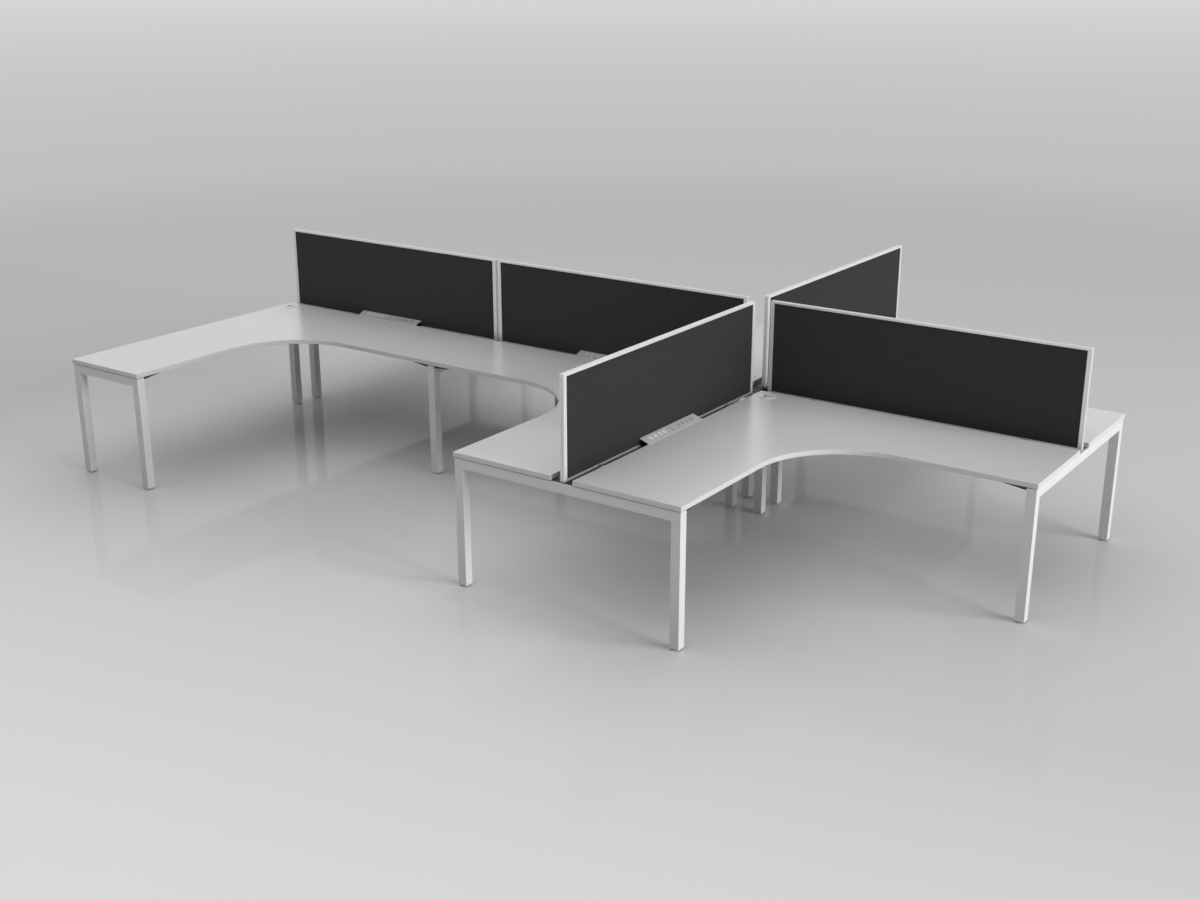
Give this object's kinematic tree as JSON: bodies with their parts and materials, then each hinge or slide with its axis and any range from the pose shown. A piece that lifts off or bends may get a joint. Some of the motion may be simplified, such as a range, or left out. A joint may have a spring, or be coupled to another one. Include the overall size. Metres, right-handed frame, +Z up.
{
  "type": "six-person corner desk workstation",
  "caption": "Back-to-back corner desks with curved inner edges on white square-tube leg frames, with fabric screens, cable trays, power units, cable ports and levelling feet.",
  "frame": {"origin": "on the floor, under the middle of the whole group's outline", "axes": "+X along a row of three desks, +Y from the front row to the back row, +Z up"},
  "size_m": [5.53, 3.73, 1.225],
  "materials": {
    "worktop_laminate": "satin pale grey laminate",
    "frame_paint": "satin white powder coat",
    "plug_plastic": "matte light grey",
    "foot_steel": "zinc plated",
    "tray_paint": "fine-textured black powder coat",
    "bracket_paint": "black powder coat",
    "screen_aluminium": "satin anodised",
    "screen_fabric": "woven charcoal cloth",
    "zinc_steel": "zinc plated",
    "outlet_plastic": "gloss white",
    "port_plastic": "matte light grey"
  },
  "bodies": {
    "frame": {"worktop_1": "worktop_laminate", "worktop_2": "worktop_laminate", "worktop_3": "worktop_laminate", "worktop_4": "worktop_laminate", "worktop_5": "worktop_laminate", "worktop_6": "worktop_laminate", "leg_frame_left_front": "frame_paint", "leg_frame_left_back": "frame_paint", "leg_frame_front": "frame_paint", "leg_frame_back": "frame_paint", "leg_frame_right": "frame_paint", "leg_frame_middle": "frame_paint", "corner_legs": "frame_paint", "leg_plugs": "plug_plastic", "beams": "frame_paint", "cable_trays": "tray_paint", "tie_bars": "bracket_paint", "tapered_brackets": "bracket_paint", "screen_frame_1": "screen_aluminium", "screen_frame_2": "screen_aluminium", "screen_frame_3": "screen_aluminium", "screen_frame_4": "screen_aluminium", "screen_frame_5": "screen_aluminium", "screen_panel_1": "screen_fabric", "screen_panel_2": "screen_fabric", "screen_panel_3": "screen_fabric", "screen_panel_4": "screen_fabric", "screen_panel_5": "screen_fabric", "screen_corner_keys": "zinc_steel", "screen_clamps": "screen_aluminium", "power_trays": "tray_paint", "power_covers": "screen_aluminium", "power_outlets": "outlet_plastic", "data_ports": "port_plastic", "port_liners": "port_plastic", "screws": "zinc_steel"},
    "foot_01": {"foot_01": "foot_steel"},
    "foot_02": {"foot_02": "foot_steel"},
    "foot_03": {"foot_03": "foot_steel"},
    "foot_04": {"foot_04": "foot_steel"},
    "foot_05": {"foot_05": "foot_steel"},
    "foot_06": {"foot_06": "foot_steel"},
    "foot_07": {"foot_07": "foot_steel"},
    "foot_08": {"foot_08": "foot_steel"},
    "foot_09": {"foot_09": "foot_steel"},
    "foot_10": {"foot_10": "foot_steel"},
    "foot_11": {"foot_11": "foot_steel"},
    "foot_12": {"foot_12": "foot_steel"},
    "foot_13": {"foot_13": "foot_steel"},
    "foot_14": {"foot_14": "foot_steel"},
    "foot_15": {"foot_15": "foot_steel"},
    "foot_16": {"foot_16": "foot_steel"},
    "foot_17": {"foot_17": "foot_steel"},
    "foot_18": {"foot_18": "foot_steel"},
    "port_cap_1": {"port_cap_1": "port_plastic"},
    "port_cap_2": {"port_cap_2": "port_plastic"},
    "port_cap_3": {"port_cap_3": "port_plastic"},
    "port_cap_4": {"port_cap_4": "port_plastic"},
    "port_cap_5": {"port_cap_5": "port_plastic"},
    "port_cap_6": {"port_cap_6": "port_plastic"}
  },
  "joints": [
    {"name": "foot_01_screw", "type": "slide", "parent": "frame", "child": "foot_01", "axis": [0, 0, -1], "range_m": [0, 0.015]},
    {"name": "foot_02_screw", "type": "slide", "parent": "frame", "child": "foot_02", "axis": [0, 0, -1], "range_m": [0, 0.015]},
    {"name": "foot_03_screw", "type": "slide", "parent": "frame", "child": "foot_03", "axis": [0, 0, -1], "range_m": [0, 0.015]},
    {"name": "foot_04_screw", "type": "slide", "parent": "frame", "child": "foot_04", "axis": [0, 0, -1], "range_m": [0, 0.015]},
    {"name": "foot_05_screw", "type": "slide", "parent": "frame", "child": "foot_05", "axis": [0, 0, -1], "range_m": [0, 0.015]},
    {"name": "foot_06_screw", "type": "slide", "parent": "frame", "child": "foot_06", "axis": [0, 0, -1], "range_m": [0, 0.015]},
    {"name": "foot_07_screw", "type": "slide", "parent": "frame", "child": "foot_07", "axis": [0, 0, -1], "range_m": [0, 0.015]},
    {"name": "foot_08_screw", "type": "slide", "parent": "frame", "child": "foot_08", "axis": [0, 0, -1], "range_m": [0, 0.015]},
    {"name": "foot_09_screw", "type": "slide", "parent": "frame", "child": "foot_09", "axis": [0, 0, -1], "range_m": [0, 0.015]},
    {"name": "foot_10_screw", "type": "slide", "parent": "frame", "child": "foot_10", "axis": [0, 0, -1], "range_m": [0, 0.015]},
    {"name": "foot_11_screw", "type": "slide", "parent": "frame", "child": "foot_11", "axis": [0, 0, -1], "range_m": [0, 0.015]},
    {"name": "foot_12_screw", "type": "slide", "parent": "frame", "child": "foot_12", "axis": [0, 0, -1], "range_m": [0, 0.015]},
    {"name": "foot_13_screw", "type": "slide", "parent": "frame", "child": "foot_13", "axis": [0, 0, -1], "range_m": [0, 0.015]},
    {"name": "foot_14_screw", "type": "slide", "parent": "frame", "child": "foot_14", "axis": [0, 0, -1], "range_m": [0, 0.015]},
    {"name": "foot_15_screw", "type": "slide", "parent": "frame", "child": "foot_15", "axis": [0, 0, -1], "range_m": [0, 0.015]},
    {"name": "foot_16_screw", "type": "slide", "parent": "frame", "child": "foot_16", "axis": [0, 0, -1], "range_m": [0, 0.015]},
    {"name": "foot_17_screw", "type": "slide", "parent": "frame", "child": "foot_17", "axis": [0, 0, -1], "range_m": [0, 0.015]},
    {"name": "foot_18_screw", "type": "slide", "parent": "frame", "child": "foot_18", "axis": [0, 0, -1], "range_m": [0, 0.015]},
    {"name": "port_cap_1_lift", "type": "slide", "parent": "frame", "child": "port_cap_1", "axis": [0, 0, 1], "range_m": [0, 0.03]},
    {"name": "port_cap_2_lift", "type": "slide", "parent": "frame", "child": "port_cap_2", "axis": [0, 0, 1], "range_m": [0, 0.03]},
    {"name": "port_cap_3_lift", "type": "slide", "parent": "frame", "child": "port_cap_3", "axis": [0, 0, 1], "range_m": [0, 0.03]},
    {"name": "port_cap_4_lift", "type": "slide", "parent": "frame", "child": "port_cap_4", "axis": [0, 0, 1], "range_m": [0, 0.03]},
    {"name": "port_cap_5_lift", "type": "slide", "parent": "frame", "child": "port_cap_5", "axis": [0, 0, 1], "range_m": [0, 0.03]},
    {"name": "port_cap_6_lift", "type": "slide", "parent": "frame", "child": "port_cap_6", "axis": [0, 0, 1], "range_m": [0, 0.03]}
  ]
}
